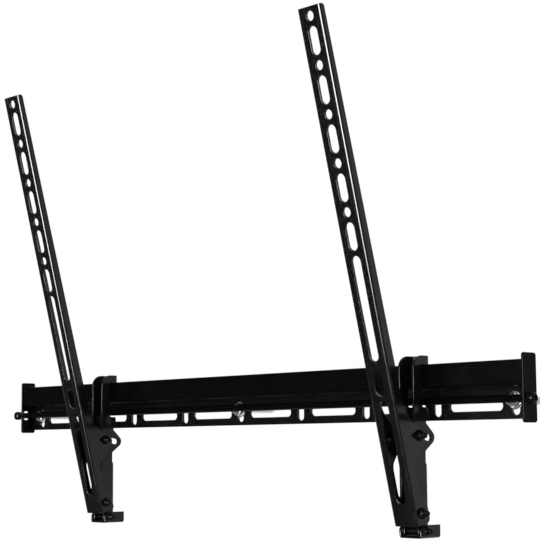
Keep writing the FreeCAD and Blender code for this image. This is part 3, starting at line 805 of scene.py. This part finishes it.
@dataclass
class Studio:
    """Floor, soft light and camera of the picture; none of it belongs to the object.

    Attributes:
        floor_z: Height of the floor.
        floor_half: Half the floor's side.
        floor_lift: Glow that brings the floor to white for the camera.
        floor_grey: Colour of the floor.
        floor_rough: Roughness of the floor.
        image: Side of the picture in pixels.
        focal_pixels: Focal length in pixels.
        sensor: Side of the camera's sensor in millimetres.
        camera_spot: Where the camera stands.
        yaw: Turn of the view round +Z from +Y, in degrees.
        pitch: Rise of the view, in degrees.
        roll: Turn about the view, in degrees.
        white: Colour of the backdrop and of the light.
        front_level: Level of the studio in front of the object, where the backdrop is 1.
        front_edge: Share of +Y in a direction where the dim front ends and where the white begins.
        panel_level: Level of the bright panel in front, which only glossy rays see.
        panel_way: Direction of the panel's middle.
        panel_edge: Angles from that direction where the panel ends and where it is full.
        panel_low: Share of +Z in a direction where the panel starts and where it is full.
        panel_high: Share of -Z in a direction where the panel stops and where it is full.
        lamp_spot: Where the soft lamp hangs.
        lamp_aim: Where it looks.
        lamp_side: Length of its side.
        lamp_power: Its power in watts.
    """

    floor_z: float = -1.3
    floor_half: float = 1.1
    floor_lift: float = 0.55
    floor_grey: tuple[float, float, float, float] = (0.86, 0.86, 0.86, 1.0)
    floor_rough: float = 0.9
    image: float = 540.0
    focal_pixels: float = 1531.916
    sensor: float = 36.0
    camera_spot: tuple[float, float, float] = (1.34924, -1.21865, -0.05588)
    yaw: float = 46.845
    pitch: float = 6.63
    roll: float = -0.393
    white: tuple[float, float, float, float] = (1.0, 1.0, 1.0, 1.0)
    front_level: float = 0.16
    front_edge: tuple[float, float] = (-0.35, 0.25)
    panel_level: float = 58.0
    panel_way: tuple[float, float, float] = (-0.035, -0.999, 0.0)
    panel_edge: tuple[float, float] = (math.radians(28.0), math.radians(24.0))
    panel_low: tuple[float, float] = (-0.36, -0.27)
    panel_high: tuple[float, float] = (-0.36, -0.22)
    lamp_spot: tuple[float, float, float] = (0.3, -2.4, 0.7)
    lamp_aim: tuple[float, float, float] = (0.0, 0.0, 0.05)
    lamp_side: float = 1.0
    lamp_power: float = 20.0

    def build(self) -> None:
        """Builds the floor, the world, the lamp and the camera."""
        self.lay_floor()
        self.light_world()
        self.hang_lamp()
        self.set_camera()
        bpy.context.scene.view_settings.view_transform = "Standard"

    def lay_floor(self) -> None:
        """Lays a plain pale floor under the object, white to the camera and clear from below."""
        side = np.linspace(-self.floor_half, self.floor_half, 2)
        x, y = np.meshgrid(side, side)
        points = np.stack([x.ravel(), y.ravel(), np.full(4, self.floor_z)], axis=-1)
        mesh = bpy.data.meshes.new("studio_floor")
        mesh.from_pydata(points.tolist(), [], [(0, 1, 3, 2)])
        floor = bpy.data.objects.new("studio_floor", mesh)
        bpy.context.scene.collection.objects.link(floor)
        pale = bpy.data.materials.new("studio_floor")
        pale.use_nodes = True
        shader = pale.node_tree.nodes["Principled BSDF"]
        shader.inputs["Base Color"].default_value = self.floor_grey
        shader.inputs["Roughness"].default_value = self.floor_rough
        shader.inputs["Emission Color"].default_value = self.white
        nodes, links = pale.node_tree.nodes, pale.node_tree.links
        path = nodes.new("ShaderNodeLightPath")
        lift = nodes.new("ShaderNodeMath")
        lift.operation = "MULTIPLY"
        lift.inputs[1].default_value = self.floor_lift
        links.new(path.outputs["Is Camera Ray"], lift.inputs[0])
        links.new(lift.outputs["Value"], shader.inputs["Emission Strength"])
        under = nodes.new("ShaderNodeNewGeometry")
        clear = nodes.new("ShaderNodeBsdfTransparent")
        both = nodes.new("ShaderNodeMixShader")
        links.new(under.outputs["Backfacing"], both.inputs["Fac"])
        links.new(shader.outputs["BSDF"], both.inputs[1])
        links.new(clear.outputs["BSDF"], both.inputs[2])
        links.new(both.outputs["Shader"], nodes["Material Output"].inputs["Surface"])
        mesh.materials.append(pale)

    def light_world(self) -> None:
        """Gives a white backdrop to camera rays, and to the others white behind and dim in front.

        Glossy rays also see a bright panel in front, as a studio has one there; it draws the light
        lines along the bends.
        """
        world = bpy.data.worlds.new("studio")
        bpy.context.scene.world = world
        world.use_nodes = True
        tree = world.node_tree
        sky = tree.nodes["Background"]
        sky.inputs["Color"].default_value = self.white
        path = tree.nodes.new("ShaderNodeLightPath")
        way = tree.nodes.new("ShaderNodeTexCoord")

        def facing(toward: tuple[float, float, float], edge: tuple[float, float], least: float,
                   most: float) -> bpy.types.NodeSocket:
            """Adds a level that climbs smoothly as a ray turns toward a direction.

            Args:
                toward: The direction.
                edge: Share of that direction in the ray where the climb starts and ends.
                least: Level before the climb.
                most: Level after it.

            Returns:
                The socket with the level.
            """
            dot = tree.nodes.new("ShaderNodeVectorMath")
            dot.operation = "DOT_PRODUCT"
            dot.inputs[1].default_value = toward
            tree.links.new(way.outputs["Generated"], dot.inputs[0])
            level = tree.nodes.new("ShaderNodeMapRange")
            level.interpolation_type = "SMOOTHSTEP"
            level.inputs["From Min"].default_value = edge[0]
            level.inputs["From Max"].default_value = edge[1]
            level.inputs["To Min"].default_value = least
            level.inputs["To Max"].default_value = most
            tree.links.new(dot.outputs["Value"], level.inputs["Value"])
            return level.outputs["Result"]

        def joined(operation: str, one: bpy.types.NodeSocket,
                   two: bpy.types.NodeSocket) -> bpy.types.NodeSocket:
            """Joins two levels.

            Args:
                operation: Name of the sum that joins them.
                one: First level.
                two: Second level.

            Returns:
                The socket with the joined level.
            """
            node = tree.nodes.new("ShaderNodeMath")
            node.operation = operation
            tree.links.new(one, node.inputs[0])
            tree.links.new(two, node.inputs[1])
            return node.outputs["Value"]

        around = facing((0.0, 1.0, 0.0), self.front_edge, self.front_level, 1.0)
        panel_edge = (math.cos(self.panel_edge[0]), math.cos(self.panel_edge[1]))
        panel = facing(self.panel_way, panel_edge, 0.0, self.panel_level)
        above = facing((0.0, 0.0, 1.0), self.panel_low, 0.0, 1.0)
        below = facing((0.0, 0.0, -1.0), self.panel_high, 0.0, 1.0)
        strip = joined("MULTIPLY", above, below)
        shine = joined("MULTIPLY", joined("MULTIPLY", panel, strip), path.outputs["Is Glossy Ray"])
        level = joined("MAXIMUM", path.outputs["Is Camera Ray"], around)
        tree.links.new(joined("ADD", level, shine), sky.inputs["Strength"])

    def hang_lamp(self) -> None:
        """Hangs one soft square lamp in front that looks at the object."""
        data = bpy.data.lights.new("front_box", "AREA")
        data.shape = "SQUARE"
        data.size = self.lamp_side
        data.energy = self.lamp_power
        lamp = bpy.data.objects.new("front_box", data)
        lamp.location = self.lamp_spot
        look = Vector(self.lamp_aim) - lamp.location
        lamp.rotation_euler = look.to_track_quat("-Z", "Y").to_euler()
        bpy.context.scene.collection.objects.link(lamp)

    def set_camera(self) -> None:
        """Sets the camera at the picture's angle: yaw round +Z, then pitch, then roll about the view."""
        yaw, pitch, roll = (math.radians(angle) for angle in (self.yaw, self.pitch, self.roll))
        ahead = Vector((-math.sin(yaw) * math.cos(pitch), math.cos(yaw) * math.cos(pitch), math.sin(pitch)))
        level = Vector((math.cos(yaw), math.sin(yaw), 0.0))
        upright = level.cross(ahead)
        right = level * math.cos(roll) + upright * math.sin(roll)
        up = upright * math.cos(roll) - level * math.sin(roll)
        data = bpy.data.cameras.new("picture_camera")
        data.sensor_width = self.sensor
        data.lens = self.focal_pixels / self.image * data.sensor_width
        camera = bpy.data.objects.new("picture_camera", data)
        turn = Matrix((right, up, -ahead)).transposed()
        camera.matrix_world = Matrix.Translation(Vector(self.camera_spot)) @ turn.to_4x4()
        bpy.context.scene.collection.objects.link(camera)
        bpy.context.scene.camera = camera


def main() -> None:
    """Loads the frame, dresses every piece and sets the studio."""
    logging.basicConfig(level=logging.INFO, format="%(name)s: %(message)s")
    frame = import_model()
    LOG.info("frame with %d nodes", len(frame["nodes"]))
    WallRail().build()
    for side in SIDES:
        TiltArm(side).build()
    Studio().build()


if __name__ == "__main__":
    main()
